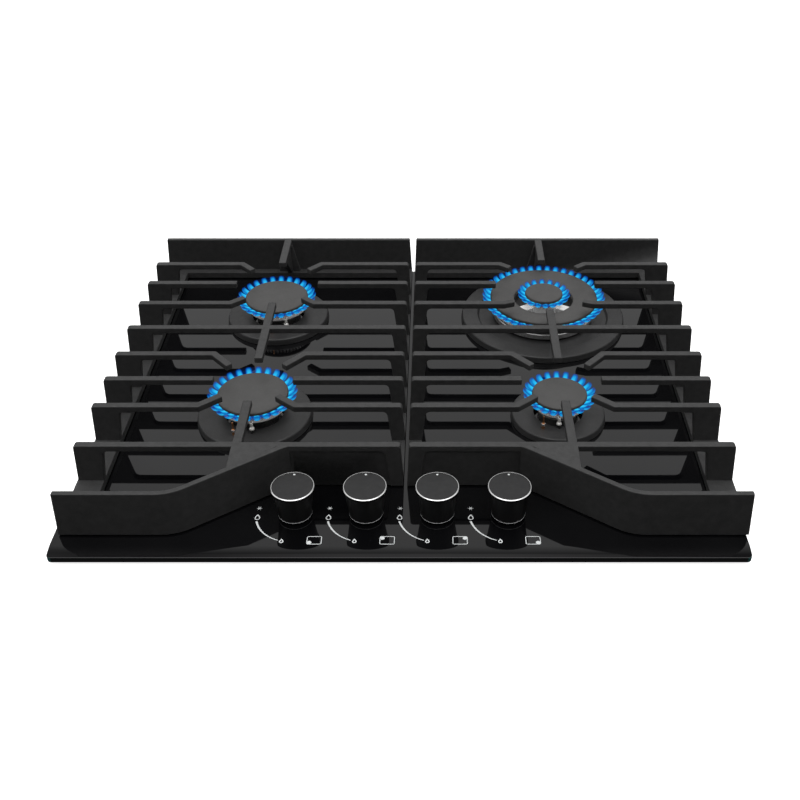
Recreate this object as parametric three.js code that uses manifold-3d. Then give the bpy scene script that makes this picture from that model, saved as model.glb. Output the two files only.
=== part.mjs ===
// A four-burner gas cooktop: black glass panel, two cast-iron grates, four sealed burners, four knobs,
// and the steel box below the glass with its taps, gas rail, feed pipes and spark generator.
// Millimetres. +X is right and +Y is rear, seen by the cook. z = 0 is the underside of the burner box.
import * as THREE from "three";
import { mergeVertices } from "three/addons/utils/BufferGeometryUtils.js";
import Module from "manifold-3d";

const wasm = await Module();
wasm.setup();

// ---------- driving dimensions ----------

// Clearances
const seatGap = 0.3; // between a piece and what it rests on
const runGap = 0.4; // around a piece that slides or turns in a bore

// Glass panel
const glassWidth = 590;
const glassDepth = 486;
const glassThickness = 7.6;
const glassCorner = 4;
const facetWidth = 12.5; // the polished slope along the front edge
const facetAngle = 10; // degrees

// Burner box and rim seal
const boxInset = 17; // from the glass edge to the box
const boxHeight = 46;
const sheet = 1;
const boxLip = 12;
const sealWidth = 8;
const sealThickness = 3;
const sealInset = 5; // from the glass edge to the seal

// Burners
const burnerSpread = 148.2; // from the middle line of the burners to each column
const burnerShift = 1.7; // the burners sit this far right of the glass centre
const rearBurnerY = 133;
const frontBurnerY = -51.2;
const bodyTop = 13.4; // heights above the glass, down to capTop
const crownTop = 25.7;
const capTop = 30.5;
const portHeight = 4.6;
const portWidth = 2.2;
const mediumCap = 34.5; // radii of the cap, the neck and the flange ring, for each size of burner
const mediumNeck = 22.5;
const mediumFlange = 56.3;
const smallCap = 26.7;
const smallNeck = 18;
const smallFlange = 46.4;
const largeCap = 59.1;
const largeNeck = 26;
const largeFlange = 91;
const sparkGap = 1.6; // from a crown's edge to the middle of its electrode
const probeGap = 7.2; // and to the middle of its thermocouple
const capLip = 2.2; // how far a cap reaches past its crown
const neckWall = 2.5;
const spigotDepth = 3.2;
const panRadius = 34;
const panDepth = 16;
const stemRadius = 10;
const electrodeRadius = 2.6;
const electrodeTop = 21;
const electrodeShoulder = 12.5;
const probeRadius = 1.6;
const probeTop = 21.5;
const probeShoulder = 16.5;
const standingWaist = 0.45; // how slim an electrode or thermocouple is above its shoulder

// Flange rings on the glass
const flangeHeight = 7;
const flangeSheet = 1.2;
const flangeStep = 2.5; // the large ring's inner part lies this much lower

// Knobs, spindles and taps
const knobPitch = 61.75;
const knobShift = 0.9; // the knobs sit this far right of the glass centre
const knobSetback = 50.7; // from the front edge of the glass
const knobTopRadius = 18.2;
const knobFootRadius = 15.2;
const knobTop = 33; // above the glass
const knobWall = 2;
const ringRadius = 18.9;
const ringHeight = 2;
const ringWidth = 1.5;
const pushTravel = 2.5;
const spindleRadius = 3;
const spindleReach = 23.7; // top of the spindle above the glass
const spindleFoot = 20.3; // above the box's underside, as are the next six
const pinRadius = 1.6;
const pinFoot = 8;
const tapFoot = 4;
const tapTop = 38;
const tapShoulder = 17;
const pipeZ = 22;
const railZ = 10;
const tapRadius = 9;
const tapNeckRadius = 6;
const spindleHole = 5; // in the glass

// Gas rail, pipes, inlet, spark generator and cable gland
const railRadius = 6;
const railBore = 4;
const railSetback = 25; // the rail runs this far behind the knobs
const railInset = 18; // from the box's side to the run to the rear
const railStart = -130;
const railElbow = 7.5;
const railPlug = 6; // the closed end
const bracketX = [-112, 62];
const pipeRadius = 3;
const pipeRise = 30; // how far behind the rail the pipes fan out
const inletRadius = 10;
const inletBore = 5;
const inletReach = 14; // how far the union stands out of the box
const generatorSize = [66, 40, 24];
const generatorInset = 48; // from the box's rear
const glandRadius = 7;
const glandInset = 63; // from the box's side

// Grates. u is the distance from the line midway between the two grates.
const grateShift = 3.2; // the grates lie this far right of the glass centre
const grateHeight = 47; // top of the bars above the glass
const grateLift = 1.6; // base strips above the glass
const barWidth = 7;
const barDepth = 6.3;
const wallThickness = 5;
const outerMargin = 1.4; // from the glass edge to the outer ends at the base strips
const outerDraft = 3.4; // and how much further in they are at the top
const innerTop = 3.7;
const innerFoot = 1.5;
const fingerLine = 147.4; // u of the fingers that run front to rear
const fingerWidth = 8.2;
const finPitch = 43.1; // from a burner to the fin on either side of it
const rearWallSetback = 6.9; // from the rear edge of the glass to the wall's middle
const frontWallSetback = 26.4; // from the front edge of the glass to the wall's middle
const frontFinGap = 40.1; // from the knobs to the front fin
const stripHeight = 8;
const outerStripWidth = 24;
const innerStrip = 14;
const legWidthTop = 28.2; // the outer leg's width, at the bar and at the foot
const legWidthFoot = 22.8;
const legInnerTop = 17.6;
const legInnerFoot = 13.6;
const archRadius = 4.5;
const barEndRadius = 3; // the rounded upper corner at a bar's end
const wallBendOuter = 193.5; // u where the front wall leaves its outer straight part
const wallBendInner = 102.5;
const wallCurveOuter = 40; // radii of the front wall's two bends
const wallCurveInner = 22;
const padRadius = 5;

// ---------- heights and places that follow ----------

const glassBottom = boxHeight + seatGap;
const glassTop = glassBottom + glassThickness;
const floorTop = sheet + seatGap;
const crownFoot = glassTop + bodyTop + seatGap;
const burnerX = (side) => burnerShift + side * burnerSpread;
const knobX = [-1.5, -0.5, 0.5, 1.5].map((n) => n * knobPitch + knobShift);
const knobY = knobSetback - glassDepth / 2;
const boxWidth = glassWidth - 2 * boxInset;
const boxDepth = glassDepth - 2 * boxInset;
const railRun = boxWidth / 2 - railInset;
const inletEnd = boxDepth / 2 + inletReach;
const generatorY = boxDepth / 2 - generatorInset;
const glandX = glandInset - boxWidth / 2;
const frontFinY = knobY + frontFinGap;
const frontWallY = frontWallSetback - glassDepth / 2;
const rearWallY = glassDepth / 2 - rearWallSetback;
const outerFoot = glassWidth / 2 - outerMargin;
const outerTop = outerFoot - outerDraft;
const outerStrip = outerFoot - outerStripWidth;
const legOuterTop = outerFoot - legWidthTop;
const legOuterFoot = outerFoot - legWidthFoot;
const railY = knobY + railSetback;
const tapOutletY = knobY + tapRadius + 7;

const medium = { cap: mediumCap, neck: mediumNeck, flange: mediumFlange, ports: 16 };
const small = { cap: smallCap, neck: smallNeck, flange: smallFlange, ports: 14 };
const large = { cap: largeCap, neck: largeNeck, flange: largeFlange, ports: 24, wok: true };
const burners = [
  { name: "front_left", side: -1, y: frontBurnerY, ...medium, knob: 0,
    electrode: [-86, mediumCap - capLip + sparkGap], probe: [-112, mediumCap - capLip + probeGap] },
  { name: "rear_left", side: -1, y: rearBurnerY, ...medium, knob: 1,
    electrode: [-68, mediumCap - capLip + sparkGap], probe: [-94, mediumCap - capLip + probeGap] },
  { name: "rear_right", side: 1, y: rearBurnerY, ...large, knob: 2,
    electrode: [-81, largeCap - capLip + sparkGap], probe: [60, largeCap - capLip + probeGap] },
  { name: "front_right", side: 1, y: frontBurnerY, ...small, knob: 3,
    electrode: [-94, smallCap - capLip + sparkGap], probe: [-122, smallCap - capLip + probeGap] },
];

// The large burner's double ring
const wokBore = 32.3; // opening of the ring cap
const wokTrough = 4.6; // wall between the trough and the opening
const wokInnerCap = 20.8;
const wokInnerPorts = 8;
const wokInnerTop = 30;
const wokDish = 3.5; // the ring cap falls this far towards its opening
const wokInnerThickness = 4.6;
const wokBaseRadius = 55.5;
const wokBaseZ = 9;
const wokFlangeHole = 40;
const wokFlangeStepRadius = 73;

// ---------- materials ----------

const finish = (color, roughness, metalness = 0) =>
  new THREE.MeshStandardMaterial({ color, roughness, metalness });
const looks = {
  glass: finish(0x08090a, 0.05),
  castIron: finish(0x232323, 0.75, 0.2),
  enamel: finish(0x1d1d1e, 0.6),
  aluminium: finish(0xb9babb, 0.4, 0.9),
  chrome: finish(0xe4e4e4, 0.15, 1),
  knob: finish(0x17181a, 0.3),
  ceramic: finish(0xf1efea, 0.35),
  copper: finish(0xb4683a, 0.35, 0.9),
  brass: finish(0xb08d4a, 0.35, 0.9),
  steel: finish(0x9a9c9e, 0.45, 0.85),
  rubber: finish(0x1a1a1a, 0.9),
  plastic: finish(0xd8d6cf, 0.6),
};

// ---------- making and joining solids ----------

// A closed geometry as a solid, with its faces turned outwards.
function solid(geometry) {
  geometry.deleteAttribute("normal");
  geometry.deleteAttribute("uv");
  const merged = mergeVertices(geometry, 1e-4);
  const spots = merged.attributes.position;
  const corners = merged.index.array;
  const kept = [];
  const [a, b, c] = [new THREE.Vector3(), new THREE.Vector3(), new THREE.Vector3()];
  let volume = 0;
  for (let i = 0; i < corners.length; i += 3) {
    const [p, q, r] = corners.slice(i, i + 3);
    if (p === q || q === r || r === p) continue;
    kept.push(p, q, r);
    a.fromBufferAttribute(spots, p);
    b.fromBufferAttribute(spots, q);
    c.fromBufferAttribute(spots, r);
    volume += a.dot(b.cross(c));
  }
  if (volume < 0) kept.reverse();
  const triVerts = new Uint32Array(kept);
  return new wasm.Manifold(new wasm.Mesh({ numProp: 3, vertProperties: spots.array, triVerts }));
}

const join = (...parts) => parts.flat(Infinity).reduce((whole, part) => whole.add(part));
const cut = (whole, ...tools) => tools.flat(Infinity).reduce((rest, tool) => rest.subtract(tool), whole);

const top = new THREE.Group();

// Adds a solid to the cooktop as a named mesh.
function piece(name, look, shape) {
  const { vertProperties, triVerts } = shape.getMesh();
  const geometry = new THREE.BufferGeometry();
  geometry.setAttribute("position", new THREE.BufferAttribute(vertProperties, 3));
  geometry.setIndex(new THREE.BufferAttribute(triVerts, 1));
  geometry.computeVertexNormals();
  const mesh = new THREE.Mesh(geometry, look);
  mesh.name = name;
  top.add(mesh);
}

// A block between two corners.
function block(low, high) {
  const size = high.map((value, i) => value - low[i]);
  const middle = high.map((value, i) => (value + low[i]) / 2);
  return solid(new THREE.BoxGeometry(...size).translate(...middle));
}

// A body of revolution about a vertical axis, from a profile of [radius, height].
function turned(profile, x, y, sides = 20) {
  const points = profile.map(([radius, height]) => new THREE.Vector2(radius, height));
  return solid(new THREE.LatheGeometry(points, sides).rotateX(Math.PI / 2).translate(x, y, 0));
}

const loop = (profile) => [...profile, profile[0]];
const drill = (x, y, radius, low, high, sides = 12) =>
  turned([[0, low], [radius, low], [radius, high], [0, high]], x, y, sides);

const outline = (points) => new THREE.Shape(points.map(([x, y]) => new THREE.Vector2(x, y)));

// A plan outline of [x, y] raised from one height to another.
function raised(shape, low, high) {
  const settings = { depth: high - low, bevelEnabled: false, curveSegments: 3 };
  return solid(new THREE.ExtrudeGeometry(shape, settings).translate(0, 0, low));
}

// A front-view outline of [x, z], as thick as asked about the plane y.
function upright(points, y, thickness) {
  const geometry = new THREE.ExtrudeGeometry(outline(points), { depth: thickness, bevelEnabled: false });
  return solid(geometry.rotateX(Math.PI / 2).translate(0, y + thickness / 2, 0));
}

// A side-view outline of [y, z], as thick as asked about the plane x.
function sideways(points, x, thickness) {
  const geometry = new THREE.ExtrudeGeometry(outline(points), { depth: thickness, bevelEnabled: false });
  geometry.rotateX(Math.PI / 2).rotateZ(Math.PI / 2);
  return solid(geometry.translate(x - thickness / 2, 0, 0));
}

function roundedRectangle(width, depth, radius, shift = 0) {
  const [x, y] = [width / 2, depth / 2];
  const shape = new THREE.Shape();
  shape.absarc(x - radius, y - radius + shift, radius, 0, Math.PI / 2);
  shape.absarc(-x + radius, y - radius + shift, radius, Math.PI / 2, Math.PI);
  shape.absarc(-x + radius, -y + radius + shift, radius, Math.PI, 1.5 * Math.PI);
  shape.absarc(x - radius, -y + radius + shift, radius, 1.5 * Math.PI, 2 * Math.PI);
  return shape;
}

// A path through corner points with each inner corner rounded to its radius.
function roundedPath(corners, radii, steps = 5) {
  const path = [corners[0]];
  for (let i = 1; i < corners.length - 1; i++) {
    const here = new THREE.Vector2(...corners[i]);
    const back = new THREE.Vector2(...corners[i - 1]).sub(here).normalize();
    const on = new THREE.Vector2(...corners[i + 1]).sub(here).normalize();
    const half = Math.acos(back.dot(on)) / 2;
    const reach = radii[i - 1] / Math.tan(half);
    const start = here.clone().addScaledVector(back, reach);
    const end = here.clone().addScaledVector(on, reach);
    for (let n = 0; n <= steps; n++) {
      const t = n / steps;
      const first = start.clone().lerp(here, t);
      const second = here.clone().lerp(end, t);
      path.push(first.lerp(second, t).toArray());
    }
  }
  return [...path, corners.at(-1)];
}

// The plan outline of a bar of even width along a path.
function barOutline(path, width) {
  const points = path.map(([x, y]) => new THREE.Vector2(x, y));
  const left = [];
  const right = [];
  points.forEach((point, i) => {
    const before = point.clone().sub(points[Math.max(i - 1, 0)]).normalize();
    const after = points[Math.min(i + 1, points.length - 1)].clone().sub(point).normalize();
    const along = before.clone().add(after).normalize();
    const stretch = i && i < points.length - 1 ? Math.sqrt((1 + before.dot(after)) / 2) : 1;
    const offset = new THREE.Vector2(-along.y, along.x).multiplyScalar(width / 2 / stretch);
    left.push(point.clone().add(offset));
    right.unshift(point.clone().sub(offset));
  });
  return new THREE.Shape([...left, ...right]);
}

// A round rod along straight runs joined by bends.
function piped(corners, bend, radius, sides = 6, steps = 10) {
  const points = corners.map((corner) => new THREE.Vector3(...corner));
  const path = new THREE.CurvePath();
  let from = points[0];
  for (let i = 1; i < points.length - 1; i++) {
    const here = points[i];
    const back = here.clone().add(points[i - 1].clone().sub(here).setLength(bend));
    const on = here.clone().add(points[i + 1].clone().sub(here).setLength(bend));
    path.add(new THREE.LineCurve3(from, back));
    path.add(new THREE.QuadraticBezierCurve3(back, here, on));
    from = on;
  }
  path.add(new THREE.LineCurve3(from, points.at(-1)));
  const section = new THREE.Shape(Array.from({ length: sides }, (_, n) => {
    const turn = (2 * Math.PI * n) / sides;
    return new THREE.Vector2(radius * Math.cos(turn), radius * Math.sin(turn));
  }));
  return solid(new THREE.ExtrudeGeometry(section, { steps, extrudePath: path, bevelEnabled: false }));
}

// ---------- glass, box and seal ----------

function glassPanel() {
  const facetDrop = facetWidth * Math.tan(THREE.MathUtils.degToRad(facetAngle));
  const front = -glassDepth / 2;
  const beyond = 5;
  const slope = facetDrop / facetWidth;
  const wedge = sideways(
    [
      [front + facetWidth, glassTop],
      [front - beyond, glassTop - facetDrop - beyond * slope],
      [front - beyond, glassTop + beyond],
      [front + facetWidth, glassTop + beyond],
    ],
    0,
    glassWidth + 2 * beyond,
  );
  const blank = raised(roundedRectangle(glassWidth, glassDepth, glassCorner), glassBottom, glassTop);
  const through = (x, y, radius, sides) => drill(x, y, radius, glassBottom - 1, glassTop + 1, sides);
  return cut(
    blank,
    wedge,
    burners.map(({ side, y, neck }) => through(burnerX(side), y, neck + 1.5, 20)),
    knobX.map((x) => through(x, knobY, spindleHole, 8)),
  );
}

function burnerBox() {
  const [x, y] = [boxWidth / 2, boxDepth / 2];
  const outer = raised(roundedRectangle(boxWidth, boxDepth, 8), 0, boxHeight);
  const inner = raised(roundedRectangle(boxWidth - 2 * sheet, boxDepth - 2 * sheet, 7), sheet,
    boxHeight - sheet);
  const [mouthX, mouthY] = [x - boxLip, y - boxLip];
  const mouth = block([-mouthX, -mouthY, boxHeight - 2 * sheet], [mouthX, mouthY, boxHeight + 1]);
  const rearHole = (holeX, z, radius) =>
    solid(new THREE.CylinderGeometry(radius, radius, 6, 20).translate(holeX, y, z));
  return cut(outer, inner, mouth, rearHole(railRun, railZ, inletRadius - 2),
    rearHole(glandX, boxHeight / 2, glandRadius));
}

function rimSeal() {
  const [width, depth] = [glassWidth - 2 * sealInset, glassDepth - 2 * sealInset];
  const shape = roundedRectangle(width, depth, glassCorner);
  shape.holes.push(roundedRectangle(width - 2 * sealWidth, depth - 2 * sealWidth, glassCorner));
  return raised(shape, boxHeight - sealThickness, boxHeight);
}

piece("glass_panel", looks.glass, glassPanel());
piece("burner_box", looks.steel, burnerBox());
piece("rim_seal", looks.rubber, rimSeal());

// ---------- burners ----------

// Slots through a crown's wall, from its top down.
function portSlots(x, y, count, inner, outer, height) {
  return Array.from({ length: count }, (_, n) => {
    const slot = new THREE.BoxGeometry(outer - inner, portWidth, portHeight + 1);
    slot.translate((outer + inner) / 2, 0, height + 1 - (portHeight + 1) / 2);
    return solid(slot.rotateZ((2 * Math.PI * (n + 0.5)) / count).translate(x, y, 0));
  });
}

function burnerBody({ side, y, neck, wok }) {
  const panTop = glassBottom - seatGap;
  const panFloor = panTop - panDepth;
  const brim = wok
    ? [[neck, glassTop + wokBaseZ], [wokBaseRadius, glassTop + wokBaseZ], [wokBaseRadius, glassTop + bodyTop]]
    : [[neck, glassTop + bodyTop - 4], [neck + 3.5, glassTop + bodyTop - 1.5],
      [neck + 3.5, glassTop + bodyTop]];
  return turned(
    [
      [0, floorTop],
      [stemRadius, floorTop],
      [stemRadius, panFloor],
      [panRadius, panFloor],
      [panRadius, panTop],
      [neck, panTop],
      ...brim,
      [neck - neckWall, glassTop + bodyTop],
      [neck - neckWall, panFloor + 3],
      [0, panFloor + 3],
    ],
    burnerX(side),
    y,
  );
}

function flangeRing({ side, y, neck, flange, wok, electrode, probe }) {
  const [high, low] = [glassTop + flangeHeight, glassTop + seatGap];
  const hole = wok ? wokFlangeHole : neck + 6;
  const upper = wok
    ? [[wokFlangeStepRadius, high], [wokFlangeStepRadius - 2, high - flangeStep], [hole, high - flangeStep]]
    : [[hole, high]];
  const lower = wok
    ? [[hole, high - flangeStep - flangeSheet], [wokFlangeStepRadius - 2, high - flangeStep - flangeSheet],
      [wokFlangeStepRadius, high - flangeSheet]]
    : [[hole, high - flangeSheet]];
  const ring = turned(
    loop([
      [flange - flangeSheet, low],
      [flange, low],
      [flange - 0.6, high - 2],
      [flange - 1.8, high],
      ...upper,
      ...lower,
      [flange - 2 - flangeSheet, high - flangeSheet],
      [flange - 0.6 - flangeSheet, high - 2 - flangeSheet],
    ]),
    burnerX(side),
    y,
    28,
  );
  const pass = ([degrees, reach], radius) => {
    const turn = THREE.MathUtils.degToRad(degrees);
    const [x, back] = [burnerX(side) + reach * Math.cos(turn), y + reach * Math.sin(turn)];
    return drill(x, back, radius + seatGap, glassTop, high + 1, 8);
  };
  return cut(ring, pass(electrode, electrodeRadius), pass(probe, probeRadius));
}

function crown({ side, y, neck, cap, ports }) {
  const [x, rim] = [burnerX(side), cap - capLip];
  const [spigot, high] = [neck - neckWall - 0.5, glassTop + crownTop];
  const trough = high - portHeight - 1.5;
  const ring = turned(
    loop([
      [spigot - 3.5, crownFoot - spigotDepth],
      [spigot, crownFoot - spigotDepth],
      [spigot, crownFoot],
      [neck + 3, crownFoot],
      [rim - 1.2, crownFoot + 3.5],
      [rim, crownFoot + 4.5],
      [rim, high],
      [rim - 5, high],
      [rim - 5, trough],
      [spigot - 3.5, trough],
    ]),
    x,
    y,
    24,
  );
  return cut(ring, portSlots(x, y, ports, rim - 6, rim + 1, high));
}

function wokCrown({ side, y, neck, cap, ports }) {
  const [x, rim] = [burnerX(side), cap - capLip];
  const high = glassTop + crownTop;
  const trough = high - portHeight - 2;
  const well = wokBore + wokTrough;
  const outer = turned(
    loop([
      [wokBore + 1, crownFoot],
      [rim - 6, crownFoot],
      [rim, crownFoot + 4],
      [rim, high],
      [rim - 5, high],
      [rim - 5, trough],
      [well + 1, trough],
      [well + 1, high - wokDish],
      [wokBore + 1, high - wokDish],
    ]),
    x,
    y,
    28,
  );
  const [spigot, core, innerHigh] = [neck - neckWall - 0.5, wokInnerCap - capLip, glassTop + wokInnerTop];
  const inner = turned(
    loop([
      [spigot - 9, crownFoot - spigotDepth],
      [spigot - 5, crownFoot - spigotDepth],
      [spigot - 5, crownFoot],
      [core, crownFoot + 2],
      [core, innerHigh],
      [core - 4, innerHigh],
      [core - 4, innerHigh - portHeight - 1.5],
      [spigot - 9, innerHigh - portHeight - 1.5],
    ]),
    x,
    y,
    20,
  );
  const spokes = [90, 210, 330].map((degrees) => {
    const bar = new THREE.BoxGeometry(wokBore + 3 - core, 11, 5);
    bar.translate((wokBore + 1 + core) / 2, 0, crownFoot + 3.5);
    return solid(bar.rotateZ(THREE.MathUtils.degToRad(degrees)).translate(x, y, 0));
  });
  return cut(
    join(outer, inner, spokes),
    portSlots(x, y, ports, rim - 6, rim + 1, high),
    portSlots(x, y, wokInnerPorts, core - 5, core + 1, innerHigh),
  );
}

// A round cap: softly domed, with a rim that hangs over its crown and a spigot that centres it.
function roundCap(x, y, radius, seat, height, spigot, sides = 28) {
  const [low, high] = [seat + seatGap, seat + seatGap + height];
  return turned(
    [
      [0, low],
      [spigot - 2.5, low],
      [spigot - 2.5, low - 2.6],
      [spigot, low - 2.6],
      [spigot, low],
      [radius - 1, low],
      [radius, low + 1.2],
      [radius - 0.3, high - 1.5],
      [radius - 1.8, high - 0.4],
      [0, high],
    ],
    x,
    y,
    sides,
  );
}

function ringCap({ side, y, cap }) {
  const [low, high] = [glassTop + crownTop + seatGap, glassTop + capTop + 0.5];
  const well = wokBore + wokTrough;
  return turned(
    loop([
      [wokBore, low - wokDish],
      [well + 2, low - wokDish],
      [well + 2, low - wokDish - 2],
      [well + 4, low - wokDish - 2],
      [well + 4, low],
      [cap - 1, low],
      [cap, low + 1.2],
      [cap - 0.3, high - 1.6],
      [cap - 1.8, high - 0.4],
      [cap - 9, high],
      [wokBore + 3, high - wokDish],
      [wokBore, high - wokDish - 1],
    ]),
    burnerX(side),
    y,
    32,
  );
}

function standing(x, y, radius, shoulder, high) {
  const [low, slim] = [glassTop + seatGap, radius * standingWaist];
  return turned(
    [[0, low], [radius, low], [radius, shoulder], [slim, shoulder + 0.8], [slim, high], [0, high]],
    x,
    y,
    8,
  );
}

for (const burner of burners) {
  const { name, side, y, cap, wok, electrode, probe } = burner;
  const x = burnerX(side);
  const at = ([degrees, reach]) => {
    const turn = THREE.MathUtils.degToRad(degrees);
    return [x + reach * Math.cos(turn), y + reach * Math.sin(turn)];
  };
  piece(`burner_body_${name}`, looks.aluminium, burnerBody(burner));
  piece(`flange_ring_${name}`, looks.enamel, flangeRing(burner));
  piece(`crown_${name}`, looks.aluminium, wok ? wokCrown(burner) : crown(burner));
  if (wok) {
    piece(`cap_${name}`, looks.enamel, ringCap(burner));
    piece(`inner_cap_${name}`, looks.enamel, roundCap(x, y, wokInnerCap, glassTop + wokInnerTop,
      wokInnerThickness, wokInnerCap - capLip - 4.5, 24));
  } else {
    const height = capTop - crownTop - seatGap;
    piece(`cap_${name}`, looks.enamel, roundCap(x, y, cap, glassTop + crownTop, height, cap - capLip - 5.5));
  }
  piece(`electrode_${name}`, looks.ceramic, standing(...at(electrode), electrodeRadius,
    glassTop + electrodeShoulder, glassTop + electrodeTop));
  piece(`thermocouple_${name}`, looks.copper, standing(...at(probe), probeRadius,
    glassTop + probeShoulder, glassTop + probeTop));
}

// ---------- knobs, spindles, push pins and taps ----------

function knob(x) {
  const [low, high] = [glassTop + pushTravel + runGap, glassTop + knobTop];
  const ledge = high - ringHeight - seatGap;
  const disc = ringRadius - ringWidth - seatGap;
  const bore = spindleRadius + seatGap;
  const roof = high - 12;
  return turned(
    [
      [0, glassTop + spindleReach + seatGap],
      [bore, glassTop + spindleReach + seatGap],
      [bore, low + 1],
      [bore + 2.5, low + 1],
      [bore + 2.5, roof],
      [knobFootRadius - knobWall, roof],
      [knobFootRadius - knobWall, low],
      [knobFootRadius, low],
      [knobTopRadius, ledge],
      [disc, ledge],
      [disc, high],
      [0, high],
    ],
    x,
    knobY,
    24,
  );
}

function knobRing(x) {
  const high = glassTop + knobTop + 0.2;
  const [inside, low] = [ringRadius - ringWidth, high - 0.2 - ringHeight];
  return turned(
    loop([
      [inside, low],
      [ringRadius, low],
      [ringRadius, high],
      [inside, high],
    ]),
    x,
    knobY,
    24,
  );
}

function tap(x) {
  const [railFront, bodySide] = [railY - railRadius - seatGap, 7];
  const body = join(
    drill(x, knobY, tapRadius, tapFoot, tapTop),
    drill(x, knobY, tapNeckRadius, tapTop - 1, glassBottom - runGap),
    block([x - bodySide, knobY, tapFoot], [x + bodySide, railFront, railZ + railRadius]),
    block([x - 5, knobY, tapShoulder], [x + 5, tapOutletY, pipeZ + 5]),
  );
  return cut(
    body,
    drill(x, knobY, spindleRadius + runGap, tapShoulder, glassBottom + 1),
    drill(x, knobY, pinRadius + runGap, tapFoot - 1, tapShoulder + 1, 8),
  );
}

knobX.forEach((x, index) => {
  const number = index + 1;
  piece(`tap_${number}`, looks.aluminium, tap(x));
  piece(`push_pin_${number}`, looks.steel, drill(x, knobY, pinRadius, pinFoot, spindleFoot - seatGap, 8));
  piece(`spindle_${number}`, looks.steel,
    drill(x, knobY, spindleRadius, spindleFoot, glassTop + spindleReach));
  piece(`knob_${number}`, looks.knob, knob(x));
  piece(`knob_ring_${number}`, looks.chrome, knobRing(x));
});

// ---------- gas rail, feed pipes, inlet, spark generator and gland ----------

const boxRear = boxDepth / 2;
const unionFoot = boxRear - 8;

function inletUnion() {
  const along = (radius, low, high, sides = 16) =>
    solid(new THREE.CylinderGeometry(radius, radius, high - low, sides)
      .translate(railRun, (high + low) / 2, railZ));
  const body = join(
    along(inletRadius - 2 - seatGap, unionFoot, inletEnd - 2),
    along(inletRadius - 0.8, boxRear + seatGap, boxRear + 5, 6),
    along(inletRadius - 1.4, boxRear + 4, inletEnd),
  );
  return cut(body, along(inletBore, unionFoot - 1, inletEnd + 1, 12));
}

// The rail passes the four taps, turns the corner in an elbow and runs to the union at the rear.
function gasRail() {
  const rod = (length, radius) => new THREE.CylinderGeometry(radius, radius, length, 10);
  const across = (from, to, radius) =>
    solid(rod(to - from, radius).rotateZ(Math.PI / 2).translate((from + to) / 2, railY, railZ));
  const back = (from, to, radius) =>
    solid(rod(to - from, radius).translate(railRun, (from + to) / 2, railZ));
  const end = unionFoot - seatGap;
  const elbow = solid(new THREE.SphereGeometry(railElbow, 10, 6).translate(railRun, railY, railZ));
  return cut(
    join(across(railStart, railRun, railRadius), back(railY, end, railRadius), elbow),
    across(railStart + railPlug, railRun + railBore / 2, railBore),
    back(railY - railBore / 2, end + 1, railBore),
  );
}

function feedPipe({ side, y, knob: index }) {
  const [startX, x] = [knobX[index], burnerX(side)];
  const away = new THREE.Vector2(startX - x, railY + pipeRise - y).setLength(stemRadius + seatGap);
  const near = away.clone().setLength(stemRadius + 24);
  return piped(
    [
      [startX, tapOutletY + seatGap, pipeZ],
      [startX, railY + pipeRise - 8, pipeZ],
      [x + near.x, y + near.y, pipeZ],
      [x + away.x, y + away.y, pipeZ],
    ],
    10,
    pipeRadius,
  );
}

function railBracket(x) {
  const saddle = railZ - railRadius - seatGap;
  return join(
    block([x - 8, railY - 14, floorTop], [x + 8, railY + 14, floorTop + 1.2]),
    block([x - 8, railY - 5, floorTop], [x + 8, railY + 5, saddle]),
    block([x - 8, railY + railRadius + seatGap, floorTop], [x + 8, railY + railRadius + 3, railZ + 4]),
  );
}

function cableGland() {
  const along = (radius, low, high) =>
    solid(new THREE.CylinderGeometry(radius, radius, high - low, 16)
      .translate(glandX, (high + low) / 2, boxHeight / 2));
  const bush = join(
    along(glandRadius - seatGap, boxRear - 8, boxRear + 6),
    along(glandRadius + 3, boxRear - 8, boxRear - sheet - seatGap),
  );
  return cut(bush, along(glandRadius - 3.2, boxRear - 9, boxRear + 7));
}

function sparkGenerator() {
  const [width, depth, height] = generatorSize;
  const body = block([-width / 2, generatorY - depth / 2, floorTop],
    [width / 2, generatorY + depth / 2, floorTop + height]);
  const posts = [-1.5, -0.5, 0.5, 1.5].map((n) =>
    drill(n * 14, generatorY - 6, 3, floorTop + height - 1, floorTop + height + 6, 8));
  return join(body, posts);
}

piece("gas_rail", looks.aluminium, gasRail());
bracketX.forEach((x, index) => piece(`rail_bracket_${index + 1}`, looks.steel, railBracket(x)));
burners.forEach((burner) => piece(`feed_pipe_${burner.name}`, looks.aluminium, feedPipe(burner)));
piece("inlet_union", looks.brass, inletUnion());
piece("spark_generator", looks.plastic, sparkGenerator());
piece("cable_gland", looks.rubber, cableGland());

// ---------- grates ----------

// How far each burner's slanted fingers and plain fins reach in towards it.
const reaches = {
  front: { bend: 45, tip: 26.6, rise: [20.5, 15.5], stub: 38 },
  rearLeft: { bend: 45, tip: 31.5, rise: [14, 11.5], stub: 44.5 },
  rearRight: { bend: 48, tip: 37, rise: [8.5, 4], stub: 54.4 },
};
const fingerEnds = {
  left: { rear: 177.5, upper: 90.2, lower: -16.9, front: -87 },
  right: { rear: 184.2, upper: 76.6, lower: -16.9, front: -87 },
};

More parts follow.
